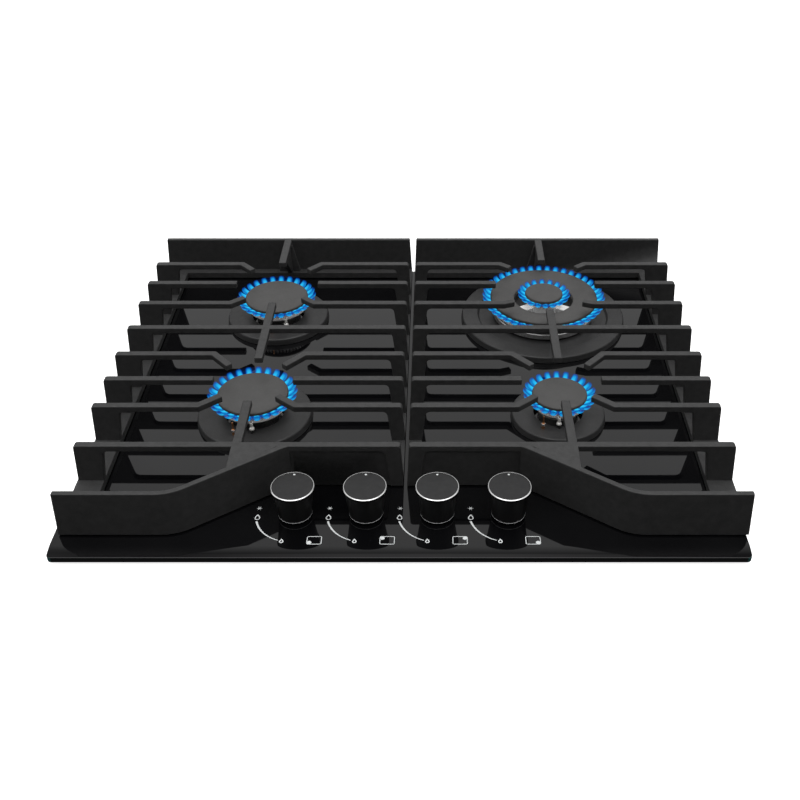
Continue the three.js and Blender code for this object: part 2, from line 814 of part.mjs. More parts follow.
function grate(side, hand) {
  const high = glassTop + grateHeight;
  const under = high - barDepth;
  const foot = glassTop + grateLift;
  const beyond = 12;
  const place = (u) => grateShift + side * u;
  const plan = (points) => points.map(([u, y]) => [place(u), y]);
  const bar = (path, width = barWidth) => raised(barOutline(plan(path), width), under, high);
  const slab = (points, low, up) => raised(outline(plan(points)), low, up);

  // A leg plate below a bar, with a rounded corner where the two meet.
  const leg = (y, edgeTop, edgeFoot, end) => {
    const into = Math.sign(edgeTop - end) * archRadius;
    const corner = [0, 1, 2, 3].map((n) => {
      const turn = (n * Math.PI) / 6;
      return [edgeTop + into * (1 - Math.sin(turn)), under - archRadius * (1 - Math.cos(turn))];
    });
    return upright(plan([[end, foot], [end, under + 1], [corner[0][0], under + 1], ...corner,
      [edgeFoot, foot]]), y, barWidth);
  };
  const outerLeg = (y) => leg(y, legOuterTop, legOuterFoot, outerFoot + beyond);
  const innerLeg = (y) => leg(y, legInnerTop, legInnerFoot, innerFoot - beyond);

  // A fin that stops short of its burner on both sides, its tips slanted towards the burner or cut square.
  const splitFin = (y, reach, rise) => {
    const half = (sign, end) => {
      const path = rise === 0
        ? [[end, y], [fingerLine + sign * reach.stub, y]]
        : [[end, y], [fingerLine + sign * reach.bend, y], [fingerLine + sign * reach.tip, y + rise]];
      return bar(path);
    };
    return [half(1, outerFoot + beyond), half(-1, innerFoot - beyond)];
  };

  const middleFinY = (rearBurnerY + frontBurnerY) / 2;
  const rearReach = side < 0 ? reaches.rearLeft : reaches.rearRight;
  const finsOf = (centre, reach) => [
    { y: centre + finPitch, bars: splitFin(centre + finPitch, reach, -reach.rise[0]) },
    { y: centre, bars: splitFin(centre, reach, 0) },
    { y: centre - finPitch, bars: splitFin(centre - finPitch, reach, reach.rise[1]) },
  ];
  const across = (y) => bar([[outerFoot + beyond, y], [innerFoot - beyond, y]]);
  const fins = [
    ...finsOf(rearBurnerY, rearReach),
    { y: middleFinY, bars: [across(middleFinY)] },
    ...finsOf(frontBurnerY, reaches.front),
    { y: frontFinY, bars: [across(frontFinY)] },
  ];

  const wallPath = roundedPath(
    [[outerFoot + beyond, frontWallY], [wallBendOuter, frontWallY], [wallBendInner, frontFinY],
      [innerFoot - beyond, frontFinY]],
    [wallCurveOuter, wallCurveInner],
  );
  const frontWall = raised(barOutline(plan(wallPath), wallThickness), foot, high);
  const [wallBack, wallFront] = [rearWallY + wallThickness / 2, rearWallY - wallThickness / 2];
  const rearWall = slab(
    [[outerFoot + beyond, wallFront], [outerFoot + beyond, wallBack],
      [innerFoot - beyond, wallBack], [innerFoot - beyond, wallFront]],
    foot,
    high,
  );
  const strip = (low, wide, back, front) =>
    slab([[low, back], [wide, back], [wide, front], [low, front]], foot, glassTop + stripHeight);
  const strips = [
    strip(outerStrip, outerFoot + beyond, rearWallY, frontWallY),
    strip(innerFoot - beyond, innerStrip, rearWallY, frontFinY),
    strip(innerStrip - 1, outerStrip + 1, rearWallY, rearWallY - 12),
  ];

  const ends = fingerEnds[hand];
  const wallLineY = frontFinY + ((frontWallY - frontFinY) * (fingerLine - wallBendInner)) /
    (wallBendOuter - wallBendInner);
  const fingers = [
    bar([[fingerLine, rearWallY], [fingerLine, ends.rear]], fingerWidth),
    bar([[fingerLine, ends.upper], [fingerLine, ends.lower]], fingerWidth),
    bar([[fingerLine, ends.front], [fingerLine, wallLineY]], fingerWidth),
  ];

  // The flat web between the front finger, the front fin and the slanting wall.
  const web = slab(
    [[fingerLine, frontFinY], [fingerLine, wallLineY], [wallBendInner + 6, frontFinY]],
    high - wallThickness,
    high,
  );
  const gusset = sideways(
    [[rearWallY, foot], [rearWallY, under + 1], [ends.rear + 8, under + 1], [ends.rear + 14, under - 3],
      [rearWallY - 10, glassTop + stripHeight]],
    place(fingerLine),
    fingerWidth - 2,
  );
  const buttress = upright(
    plan([[fingerLine - 14, foot], [fingerLine + 14, foot], [fingerLine + 5, under + 1],
      [fingerLine - 5, under + 1]]),
    rearWallY - 4,
    8,
  );
  const pads = [[outerStrip + 11, rearWallY - 14], [outerStrip + 11, frontWallY + 16],
    [innerStrip / 2 + 1, rearWallY - 14], [innerStrip / 2 + 1, frontFinY + 12]];
  const lugs = pads.map(([u, y]) => drill(place(u), y, padRadius, glassTop + seatGap, foot + 1, 8));

  // The sloping side limits, with the bars' upper corners rounded and those of the walls left square.
  const limits = (radius) => {
    const corner = [0, 1, 2, 3, 4].map((n) => {
      const turn = (n * Math.PI) / 8;
      return [radius * (1 - Math.cos(turn)), radius * (1 - Math.sin(turn))];
    });
    return upright(plan([[outerFoot, foot - 5], [outerFoot, foot],
      ...(radius ? corner.map(([into, down]) => [outerTop - into, high - down]) : [[outerTop, high]]),
      ...(radius ? corner.map(([into, down]) => [innerTop + into, high - down]).reverse()
        : [[innerTop, high]]),
      [innerFoot, foot], [innerFoot, foot - 5]]), 0, glassDepth);
  };
  const walls = join(rearWall, frontWall, strips, web, gusset, buttress, lugs).intersect(limits(0));
  const bars = join(fins.map(({ bars: across }) => across),
    fins.map(({ y }) => [outerLeg(y), innerLeg(y)]).flat()).intersect(limits(barEndRadius));
  return join(walls, bars, fingers);
}

piece("grate_left", looks.castIron, grate(-1, "left"));
piece("grate_right", looks.castIron, grate(1, "right"));

export default top;
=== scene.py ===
"""A gas cooktop: black glass, cast-iron grates, four lit burners and four knobs.

Lengths are metres. Each size named below is a real one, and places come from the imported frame.
"""

import math
from collections import namedtuple

import bmesh
import bpy
from mathutils import Matrix, Vector


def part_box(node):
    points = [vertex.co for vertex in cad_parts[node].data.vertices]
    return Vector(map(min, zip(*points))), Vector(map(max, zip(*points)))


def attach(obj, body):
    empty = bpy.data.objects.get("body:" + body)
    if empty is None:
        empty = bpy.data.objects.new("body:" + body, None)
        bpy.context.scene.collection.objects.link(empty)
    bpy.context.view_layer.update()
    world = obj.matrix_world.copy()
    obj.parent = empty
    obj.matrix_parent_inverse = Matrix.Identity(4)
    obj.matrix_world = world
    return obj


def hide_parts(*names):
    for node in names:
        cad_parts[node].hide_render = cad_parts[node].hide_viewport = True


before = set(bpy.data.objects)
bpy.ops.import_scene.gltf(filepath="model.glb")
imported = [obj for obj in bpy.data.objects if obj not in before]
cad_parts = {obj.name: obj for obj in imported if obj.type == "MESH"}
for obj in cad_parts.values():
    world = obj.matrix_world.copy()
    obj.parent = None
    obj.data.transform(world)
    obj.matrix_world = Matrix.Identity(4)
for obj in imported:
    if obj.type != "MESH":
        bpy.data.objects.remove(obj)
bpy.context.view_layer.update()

MM = 0.001
FULL_TURN = math.tau

# ---------- what the frame holds ----------

Round = namedtuple("Round", "x y low high radius")


def round_of(node):
    """Where a round node stands, how high it reaches and its radius."""
    low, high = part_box(node)
    return Round((low.x + high.x) / 2, (low.y + high.y) / 2, low.z, high.z, (high.x - low.x) / 2)


glass_low, glass_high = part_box("glass_panel")
glass_top = glass_high.z

Burner = namedtuple("Burner", "place bore ports petals")
burners = [
    Burner("front_left", 20 * MM, 52, 26),
    Burner("rear_left", 20 * MM, 52, 26),
    Burner("front_right", 15.5 * MM, 40, 22),
]
large_burner = Burner("rear_right", 23.5 * MM, 84, 42)
knob_numbers = (1, 2, 3, 4)

# ---------- finishes ----------


def surface(name, color, roughness, metallic=0.0, specular=0.5):
    """A material with even colour and gloss, ready for its texture."""
    material = bpy.data.materials.new(name)
    material.use_nodes = True
    shader = material.node_tree.nodes["Principled BSDF"]
    shader.inputs["Base Color"].default_value = (*color, 1)
    shader.inputs["Roughness"].default_value = roughness
    shader.inputs["Metallic"].default_value = metallic
    shader.inputs["Specular IOR Level"].default_value = specular
    return material


def socket(material, name):
    return material.node_tree.nodes["Principled BSDF"].inputs[name]


def grain(material, size, detail=3, stretch=(1, 1, 1)):
    """A noise pattern with grains of about this size, on the piece's own coordinates."""
    nodes, links = material.node_tree.nodes, material.node_tree.links
    place = nodes.new("ShaderNodeTexCoord")
    spread = nodes.new("ShaderNodeMapping")
    spread.inputs["Scale"].default_value = stretch
    noise = nodes.new("ShaderNodeTexNoise")
    noise.inputs["Scale"].default_value = 1 / size
    noise.inputs["Detail"].default_value = detail
    links.new(place.outputs["Object"], spread.inputs["Vector"])
    links.new(spread.outputs["Vector"], noise.inputs["Vector"])
    return noise.outputs["Fac"]


def color_from(material, pattern, dark, light, spread=0.25):
    """Colours the surface between two tones as the pattern goes."""
    nodes, links = material.node_tree.nodes, material.node_tree.links
    ramp = nodes.new("ShaderNodeValToRGB")
    ramp.color_ramp.elements[0].position = 0.5 - spread
    ramp.color_ramp.elements[0].color = (*dark, 1)
    ramp.color_ramp.elements[1].position = 0.5 + spread
    ramp.color_ramp.elements[1].color = (*light, 1)
    links.new(pattern, ramp.inputs["Fac"])
    links.new(ramp.outputs["Color"], socket(material, "Base Color"))


def roughness_from(material, pattern, smooth, rough):
    """Makes the surface smoother and rougher as the pattern goes."""
    nodes, links = material.node_tree.nodes, material.node_tree.links
    reach = nodes.new("ShaderNodeMapRange")
    reach.inputs["From Min"].default_value = 0.3
    reach.inputs["From Max"].default_value = 0.7
    reach.inputs["To Min"].default_value = smooth
    reach.inputs["To Max"].default_value = rough
    links.new(pattern, reach.inputs["Value"])
    links.new(reach.outputs["Result"], socket(material, "Roughness"))


def bump_from(material, pattern, height, strength=1.0):
    """Raises and lowers the surface as the pattern goes, on top of any bumps it has."""
    nodes, links = material.node_tree.nodes, material.node_tree.links
    bump = nodes.new("ShaderNodeBump")
    bump.inputs["Distance"].default_value = height
    bump.inputs["Strength"].default_value = strength
    links.new(pattern, bump.inputs["Height"])
    normal = socket(material, "Normal")
    if normal.links:
        links.new(normal.links[0].from_socket, bump.inputs["Normal"])
    links.new(bump.outputs["Normal"], normal)


def casting_enamel():
    """Matt black enamel over rough cast iron."""
    material = surface("casting_enamel", (0.04, 0.04, 0.04), 0.5)
    color_from(material, grain(material, 6 * MM), (0.03, 0.03, 0.0302), (0.046, 0.046, 0.0462))
    roughness_from(material, grain(material, 2 * MM), 0.42, 0.58)
    bump_from(material, grain(material, 1.3 * MM, 5), 0.12 * MM, 0.5)
    bump_from(material, grain(material, 9 * MM, 2), 0.4 * MM, 0.25)
    return material


def cap_enamel():
    """Fine matt enamel, as baked on the burner caps."""
    material = surface("cap_enamel", (0.07, 0.07, 0.07), 0.55)
    color_from(material, grain(material, 11 * MM), (0.062, 0.061, 0.06), (0.074, 0.073, 0.072))
    roughness_from(material, grain(material, 1.5 * MM), 0.5, 0.65)
    bump_from(material, grain(material, 0.7 * MM, 4), 0.08 * MM, 0.5)
    return material


def flange_enamel():
    """Half-matt enamel on pressed sheet."""
    material = surface("flange_enamel", (0.034, 0.034, 0.034), 0.4)
    color_from(material, grain(material, 18 * MM), (0.028, 0.028, 0.0285), (0.04, 0.04, 0.0405))
    roughness_from(material, grain(material, 2.5 * MM), 0.34, 0.5)
    bump_from(material, grain(material, 0.9 * MM, 4), 0.06 * MM, 0.5)
    return material


def black_glass():
    """Polished black glass with faint wipe marks in its gloss."""
    material = surface("black_glass", (0.003, 0.003, 0.0035), 0.03)
    color_from(material, grain(material, 60 * MM), (0.002, 0.002, 0.0025), (0.004, 0.004, 0.0045))
    roughness_from(material, grain(material, 25 * MM, 5, (1, 3, 1)), 0.012, 0.05)
    return material


def ground_edge():
    """The sea-green ground sides of the glass."""
    material = surface("ground_edge", (0.02, 0.09, 0.085), 0.3)
    color_from(material, grain(material, 4 * MM), (0.012, 0.06, 0.056), (0.03, 0.12, 0.112))
    roughness_from(material, grain(material, 1 * MM), 0.2, 0.4)
    bump_from(material, grain(material, 0.5 * MM), 0.03 * MM, 0.5)
    return material


def cast_aluminium():
    """Bare die-cast aluminium with a fine sandy skin."""
    material = surface("cast_aluminium", (0.62, 0.62, 0.62), 0.34, metallic=0.95)
    color_from(material, grain(material, 5 * MM), (0.5, 0.5, 0.5), (0.72, 0.72, 0.715))
    roughness_from(material, grain(material, 1 * MM), 0.26, 0.46)
    bump_from(material, grain(material, 0.8 * MM, 4), 0.05 * MM, 0.6)
    return material


def turned_aluminium():
    """Freshly turned aluminium, as on the burner crowns' rims and ports."""
    material = surface("turned_aluminium", (0.9, 0.9, 0.9), 0.3, metallic=0.35)
    color_from(material, grain(material, 3 * MM), (0.86, 0.86, 0.86), (0.96, 0.96, 0.955))
    roughness_from(material, grain(material, 0.8 * MM), 0.22, 0.42)
    bump_from(material, grain(material, 0.7 * MM, 4), 0.03 * MM, 0.5)
    return material


def drawn_metal(name, dark, light, smooth, rough, along=(1, 1, 1)):
    """Drawn or turned metal with fine lines along one way."""
    material = surface(name, light, smooth, metallic=1.0)
    color_from(material, grain(material, 4 * MM, 3, along), dark, light)
    roughness_from(material, grain(material, 0.6 * MM, 2, along), smooth, rough)
    bump_from(material, grain(material, 0.5 * MM, 2, along), 0.02 * MM, 0.4)
    return material


def zinc_sheet():
    """Zinc-coated sheet with its frost-like spangle."""
    material = surface("zinc_sheet", (0.5, 0.51, 0.52), 0.4, metallic=0.9)
    nodes, links = material.node_tree.nodes, material.node_tree.links
    place = nodes.new("ShaderNodeTexCoord")
    spangle = nodes.new("ShaderNodeTexVoronoi")
    spangle.inputs["Scale"].default_value = 1 / (14 * MM)
    links.new(place.outputs["Object"], spangle.inputs["Vector"])
    color_from(material, spangle.outputs["Color"], (0.4, 0.41, 0.42), (0.58, 0.59, 0.6), 0.4)
    roughness_from(material, spangle.outputs["Color"], 0.3, 0.5)
    bump_from(material, grain(material, 2 * MM), 0.03 * MM, 0.4)
    return material


def moulded(name, dark, light, smooth, rough, grain_size=0.8 * MM, depth=0.03 * MM, specular=0.45):
    """Moulded plastic, rubber or fired ceramic with a fine skin."""
    material = surface(name, light, smooth, specular=specular)
    color_from(material, grain(material, 8 * MM), dark, light)
    roughness_from(material, grain(material, 2 * MM), smooth, rough)
    bump_from(material, grain(material, grain_size), depth, 0.5)
    return material


def knob_disc():
    """The knob's face: satin black lacquer on turned metal."""
    material = surface("knob_disc", (0.02, 0.02, 0.021), 0.4, specular=0.3)
    color_from(material, grain(material, 5 * MM), (0.022, 0.022, 0.0225), (0.03, 0.03, 0.0305))
    roughness_from(material, grain(material, 0.5 * MM), 0.38, 0.5)
    bump_from(material, grain(material, 0.35 * MM), 0.01 * MM, 0.4)
    return material


def burning_gas(name, rim, core, strength):
    """Glowing gas, clear at the rim of a flame and bright at its core."""
    material = surface(name, (0, 0, 0), 1.0, specular=0.0)
    nodes, links = material.node_tree.nodes, material.node_tree.links
    warmth = nodes.new("ShaderNodeAttribute")
    warmth.attribute_name = "warmth"
    glow = nodes.new("ShaderNodeValToRGB")
    glow.color_ramp.elements[0].position = 0.1
    glow.color_ramp.elements[0].color = (*rim, 1)
    glow.color_ramp.elements[1].position = 0.65
    glow.color_ramp.elements[1].color = (*core, 1)
    body = nodes.new("ShaderNodeMapRange")
    body.inputs["From Min"].default_value = 0.0
    body.inputs["From Max"].default_value = 0.35
    links.new(warmth.outputs["Fac"], glow.inputs["Fac"])
    links.new(warmth.outputs["Fac"], body.inputs["Value"])
    links.new(glow.outputs["Color"], socket(material, "Emission Color"))
    links.new(body.outputs["Result"], socket(material, "Alpha"))
    socket(material, "Emission Strength").default_value = strength
    return material


def print_with_painted_glow():
    """Fired white print on the glass, with a faint painted glow that makes it brighter."""
    material = moulded("white_print_painted_glow", (0.62, 0.65, 0.65), (0.72, 0.75, 0.75), 0.45, 0.6)
    # Painted glow: the print gives off a little light though it is no lamp.
    socket(material, "Emission Color").default_value = (1, 1, 1, 1)
    socket(material, "Emission Strength").default_value = 0.12
    return material


enamel_iron = casting_enamel()
enamel_cap = cap_enamel()
# Dark flange enamel, also used as painted shade inside the large burner.
enamel_and_painted_shade = flange_enamel()
glass_black = black_glass()
glass_edge = ground_edge()
aluminium = cast_aluminium()
bright_aluminium = turned_aluminium()
bright_chrome = drawn_metal("bright_chrome", (0.78, 0.78, 0.78), (0.92, 0.92, 0.92), 0.1, 0.2)
drawn_steel = drawn_metal("drawn_steel", (0.4, 0.4, 0.4), (0.56, 0.56, 0.56), 0.25, 0.4)
turned_brass = drawn_metal("turned_brass", (0.5, 0.34, 0.13), (0.7, 0.5, 0.22), 0.2, 0.34)
warm_copper = drawn_metal("warm_copper", (0.55, 0.24, 0.11), (0.8, 0.4, 0.2), 0.22, 0.36)
drawn_pipe = drawn_metal("drawn_pipe", (0.55, 0.55, 0.55), (0.72, 0.72, 0.72), 0.28, 0.45)
zinc = zinc_sheet()
fired_ceramic = moulded("fired_ceramic", (0.68, 0.67, 0.64), (0.82, 0.81, 0.78), 0.2, 0.34)
# Black rubber, also used as painted shade on the spark electrodes' stems.
rubber_and_painted_shade = moulded("rubber_and_painted_shade", (0.012, 0.012, 0.012), (0.024, 0.024, 0.024), 0.7, 0.9)
pale_plastic = moulded("pale_plastic", (0.5, 0.49, 0.45), (0.6, 0.59, 0.55), 0.45, 0.6)
# Black knob plastic, also used as painted shade on the chrome rings' outer sides.
knob_black_and_painted_shade = moulded(
    "knob_black_and_painted_shade", (0.006, 0.006, 0.0065), (0.008, 0.008, 0.0085), 0.35, 0.4,
    grain_size=3 * MM, depth=0.0, specular=0.2,
)
# A light grey for the painted highlight on the knobs' lower edge.
knob_foot_painted_highlight = moulded("knob_foot_painted_highlight", (0.75, 0.75, 0.76), (0.85, 0.85, 0.86), 0.3, 0.4)
knob_face = knob_disc()
white_print_painted_glow = print_with_painted_glow()
flame_blue = burning_gas("flame_blue", (0.0, 0.07, 0.5), (0.03, 0.62, 1.0), 1.0)
flame_veil = burning_gas("flame_veil", (0.0, 0.04, 0.28), (0.0, 0.17, 0.7), 1.0)

# ---------- shaping ----------


def spun(profile, closed=False, turns=96):
    """A ring or disc: a profile of (radius, height) points turned about the vertical."""
    shape = bmesh.new()
    points = [shape.verts.new((radius, 0, height)) for radius, height in profile]
    for start, end in zip(points, points[1:]):
        shape.edges.new((start, end))
    if closed:
        shape.edges.new((points[-1], points[0]))
    bmesh.ops.spin(
        shape,
        geom=shape.verts[:] + shape.edges[:],
        cent=(0, 0, 0),
        axis=(0, 0, 1),
        dvec=(0, 0, 0),
        angle=FULL_TURN,
        steps=turns,
        use_merge=True,
    )
    bmesh.ops.remove_doubles(shape, verts=shape.verts[:], dist=0.001 * MM)
    bmesh.ops.recalc_face_normals(shape, faces=shape.faces[:])
    return shape


def softened(shape, width, segments=2, sharpest=math.radians(25), clamp=True, above=None):
    """Rounds the edges sharper than an angle, or only the outward ones that reach a height."""
    shape.normal_update()
    sharp = [edge for edge in shape.edges if edge.is_manifold and edge.calc_face_angle() > sharpest]
    if above:
        sharp = [edge for edge in sharp
                 if edge.is_convex and max(vert.co.z for vert in edge.verts) > above]
    bmesh.ops.bevel(
        shape,
        geom=sharp,
        offset=width,
        offset_type="OFFSET",
        segments=segments,
        profile=0.5,
        affect="EDGES",
        material=-1,
        clamp_overlap=clamp,
    )
    return shape


def copied(node):
    """A copy of a CAD node's shape with its flat faces made whole."""
    shape = bmesh.new()
    shape.from_mesh(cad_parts[node].data)
    bmesh.ops.remove_doubles(shape, verts=shape.verts[:], dist=0.002 * MM)
    bmesh.ops.dissolve_limit(
        shape, angle_limit=math.radians(1), verts=shape.verts[:], edges=shape.edges[:]
    )
    return shape


def block(low, high):
    """A box between two corners."""
    shape = bmesh.new()
    size = Vector(high) - Vector(low)
    middle = (Vector(high) + Vector(low)) / 2
    placed = Matrix.Translation(middle) @ Matrix.Diagonal((*size, 1))
    bmesh.ops.create_cube(shape, size=1, matrix=placed)
    return shape


def around(shape, count, start=0.0):
    """Repeats a shape evenly about the vertical."""
    bmesh.ops.rotate(shape, verts=shape.verts[:], cent=(0, 0, 0),
                     matrix=Matrix.Rotation(start, 3, "Z"))
    bmesh.ops.spin(
        shape,
        geom=shape.verts[:] + shape.edges[:] + shape.faces[:],
        cent=(0, 0, 0),
        axis=(0, 0, 1),
        dvec=(0, 0, 0),
        angle=FULL_TURN * (count - 1) / count,
        steps=count - 1,
        use_duplicate=True,
    )
    return shape


def joined(*shapes):
    """Puts several shapes into the first."""
    whole = shapes[0]
    for shape in shapes[1:]:
        part = bpy.data.meshes.new("part")
        shape.to_mesh(part)
        shape.free()
        whole.from_mesh(part)
        bpy.data.meshes.remove(part)
    return whole


def piece(name, shape, body, finish, at=(0, 0, 0), stands_for=()):
    """Turns a shape into a finished piece that rides on a body."""
    bmesh.ops.translate(shape, verts=shape.verts[:], vec=at)
    mesh = bpy.data.meshes.new(name)
    shape.to_mesh(mesh)
    shape.free()
    for material in finish if isinstance(finish, tuple) else (finish,):
        mesh.materials.append(material)
    mesh.shade_smooth()
    mesh.set_sharp_from_angle(angle=math.radians(35))
    thing = bpy.data.objects.new(name, mesh)
    bpy.context.scene.collection.objects.link(thing)
    even = thing.modifiers.new("even_shading", "WEIGHTED_NORMAL")
    even.keep_sharp = True
    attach(thing, body)
    if stands_for:
        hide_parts(*stands_for)
    return thing


def paint(shape, index, chosen):
    """Gives the faces that a test picks their own finish."""
    shape.normal_update()
    for face in shape.faces:
        if chosen(face):
            face.material_index = index
    return shape


def dress(node, material):
    """Gives a CAD node's own solid a finish."""
    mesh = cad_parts[node].data
    mesh.materials.clear()
    mesh.materials.append(material)


# ---------- glass panel and grates ----------

edge_rounding = 0.6 * MM
casting_rounding = 0.95 * MM
strip_height = 9 * MM
side_band = 5 * MM


def is_ground_side(face):
    middle = face.calc_center_median()
    at_side = abs(middle.x) > glass_high.x - side_band or middle.y > glass_high.y - side_band
    return at_side and abs(face.normal.z) < 0.4


glass = softened(copied("glass_panel"), edge_rounding)
paint(glass, 1, is_ground_side)
piece(
    "polished_panel",
    glass,
    "cooktop",
    (glass_black, glass_edge),
    stands_for=("glass_panel",),
)

for side in ("left", "right"):
    grate = softened(copied(f"grate_{side}"), casting_rounding, 3, math.radians(35), clamp=False,
                     above=glass_top + strip_height)
    piece(f"iron_grate_{side}", grate, f"grate_{side}", enamel_iron,
          stands_for=(f"grate_{side}",))

lug_radius = 5 * MM
outer_lug_inset = 13 * MM
inner_lug_inset = 6.5 * MM
rear_lug_inset = 16.5 * MM
front_lug_inset = 18.5 * MM
inner_lug_setback = 12 * MM
front_bar_gap = 40.1 * MM
pad_wall = 1.1 * MM
pad_height = 2.4 * MM
pad_rounding = 0.3 * MM
pad_gap = 0.05 * MM


def grate_pads(side, hand):
    """The rubber feet on the grate's lugs."""
    low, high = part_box(f"grate_{side}")
    outer, inner = (low.x, high.x) if hand < 0 else (high.x, low.x)
    front_bar = round_of("knob_1").y + front_bar_gap
    floor = glass_top + 0.02 * MM
    sole = glass_top + 0.24 * MM
    brim = glass_top + pad_height
    outside = lug_radius + pad_wall
    profile = [
        (0, floor),
        (outside - pad_rounding, floor),
        (outside, floor + pad_rounding),
        (outside, brim - pad_rounding),
        (outside - pad_rounding, brim),
        (lug_radius + pad_gap, brim),
        (lug_radius + pad_gap, sole),
        (0, sole),
    ]
    places = (
        (outer - hand * outer_lug_inset, high.y - rear_lug_inset),
        (outer - hand * outer_lug_inset, low.y + front_lug_inset),
        (inner + hand * inner_lug_inset, high.y - rear_lug_inset),
        (inner + hand * inner_lug_inset, front_bar + inner_lug_setback),
    )
    shapes = []
    for x, y in places:
        shape = spun(profile, turns=32)
        bmesh.ops.translate(shape, verts=shape.verts[:], vec=(x, y, 0))
        shapes.append(shape)
    piece(f"grate_pads_{side}", joined(*shapes), f"grate_{side}", rubber_and_painted_shade)


grate_pads("left", -1)
grate_pads("right", 1)

# ---------- burners ----------

port_depth = 6.2 * MM
port_width = 1.3 * MM
tooth_depth = 5 * MM
cap_thickness = 4.6 * MM
flange_sheet = 1.2 * MM
flange_gap = 8.5 * MM
large_flange_hole = 40 * MM
large_flange_step = 73 * MM
painted_shade_middle = 36 * MM


def comb(radius, top, ports):
    """The crown's teeth, with a gas port in each gap."""
    width = FULL_TURN * radius / ports - port_width
    tooth = block((radius - tooth_depth, -width / 2, top - port_depth), (radius, width / 2, top))
    return around(softened(tooth, 0.25 * MM, 1), ports)


def crown(burner):
    node = f"crown_{burner.place}"
    seat = round_of(node)
    foot = seat.low + 3.2 * MM
    wall = seat.high - port_depth + 0.3 * MM
    profile = [
        (burner.bore - 4 * MM, seat.low),
        (burner.bore - 0.5 * MM, seat.low),
        (burner.bore - 0.5 * MM, foot),
        (burner.bore + 5 * MM, foot),
        (seat.radius - 1.4 * MM, foot + 2.6 * MM),
        (seat.radius + 0.3 * MM, foot + 3.2 * MM),
        (seat.radius + 0.3 * MM, foot + 4.4 * MM),
        (seat.radius - 0.2 * MM, wall),
        (seat.radius - tooth_depth, wall),
        (seat.radius - tooth_depth, foot + 2 * MM),
        (burner.bore - 4 * MM, foot + 2 * MM),
    ]
    ring = softened(spun(profile, closed=True), 0.3 * MM)
    shape = joined(ring, comb(seat.radius, seat.high, burner.ports))
    piece(f"crown_comb_{burner.place}", shape, node, bright_aluminium,
          at=(seat.x, seat.y, 0), stands_for=(node,))


def cap(burner):
    node = f"cap_{burner.place}"
    seat = round_of(node)
    lip = seat.high - cap_thickness
    top, radius = seat.high, seat.radius
    profile = [
        (0, lip),
        (radius - 9.5 * MM, lip),
        (radius - 9.5 * MM, seat.low),
        (radius - 7.7 * MM, seat.low),
        (radius - 7.7 * MM, lip),
        (radius - 1.2 * MM, lip),
        (radius, lip + 1.2 * MM),
        (radius - 0.2 * MM, top - 1.7 * MM),
        (radius - 0.8 * MM, top - 0.9 * MM),
        (radius - 2.2 * MM, top - 0.4 * MM),
        (radius * 0.6, top - 0.12 * MM),
        (0, top),
    ]
    piece(f"cap_disc_{burner.place}", softened(spun(profile), 0.35 * MM), node, enamel_cap,
          at=(seat.x, seat.y, 0), stands_for=(node,))


def burner_neck(burner, brim):
    """The cup below the glass with the neck and brim that carry the crown."""
    node = f"burner_body_{burner.place}"
    seat = round_of(node)
    stem, cup = 10 * MM, 34 * MM
    cup_top = glass_low.z - 0.3 * MM
    cup_floor = cup_top - 16 * MM
    neck = burner.bore + 2.5 * MM
    profile = [
        (0, seat.low),
        (stem, seat.low),
        (stem, cup_floor - 3 * MM),
        (stem + 3 * MM, cup_floor),
        (cup - 3 * MM, cup_floor),
        (cup, cup_floor + 3 * MM),
        (cup, cup_top),
        (neck, cup_top),
        *brim(neck, seat),
        (burner.bore, seat.high),
        (burner.bore, cup_floor + 3 * MM),
        (0, cup_floor + 3 * MM),
    ]
    shape = softened(spun(profile), 0.4 * MM)

    def is_painted_shade(face):
        middle = face.calc_center_median()
        on_top = face.normal.z > 0.9 and middle.z > seat.high - 0.1 * MM
        return on_top and middle.xy.length < painted_shade_middle

    # The middle of the wide brim is painted dark as shade under the ring cap.
    if brim is wide_brim:
        paint(shape, 1, is_painted_shade)
    piece(f"burner_cup_{burner.place}", shape, "cooktop", (aluminium, enamel_and_painted_shade),
          at=(seat.x, seat.y, 0), stands_for=(node,))


def plain_brim(neck, seat):
    rim = neck + 3.5 * MM
    return [(neck, seat.high - 4 * MM), (rim, seat.high - 1.5 * MM), (rim, seat.high)]


def wide_brim(neck, seat):
    """A wide brim: its middle, seen through the ring cap, is painted dark as shade."""
    under = glass_top + 9 * MM
    return [
        (neck, under),
        (seat.radius - 6 * MM, under),
        (seat.radius - 5 * MM, under - 1.5 * MM),
        (seat.radius, under - 1.5 * MM),
        (seat.radius, seat.high - 1 * MM),
        (seat.radius - 1 * MM, seat.high),
        (painted_shade_middle, seat.high),
    ]


def flange(burner, hole, step=None):
    """The raised disc on the glass: a pressed dish, with a lower middle where it has a step."""
    node = f"flange_ring_{burner.place}"
    seat = round_of(node)
    top, sheet, radius = seat.high, flange_sheet, seat.radius
    upper = [(hole, top)]
    if step:
        drop = 2.5 * MM
        upper = [(step, top), (step - 2 * MM, top - drop), (hole, top - drop)]
    lower = [(reach, height - sheet) for reach, height in reversed(upper)]
    profile = [
        (radius - sheet, seat.low),
        (radius, seat.low),
        (radius - 0.7 * MM, top - 2 * MM),
        (radius - 1.1 * MM, top - 0.8 * MM),
        (radius - 1.9 * MM, top),
        *upper,
        *lower,
        (radius - 1.9 * MM - sheet, top - sheet),
        (radius - 0.7 * MM - sheet, top - 2 * MM - sheet),
    ]
    piece(f"flange_dish_{burner.place}", softened(spun(profile, closed=True), 0.3 * MM), "cooktop",
          enamel_and_painted_shade, at=(seat.x, seat.y, 0), stands_for=(node,))


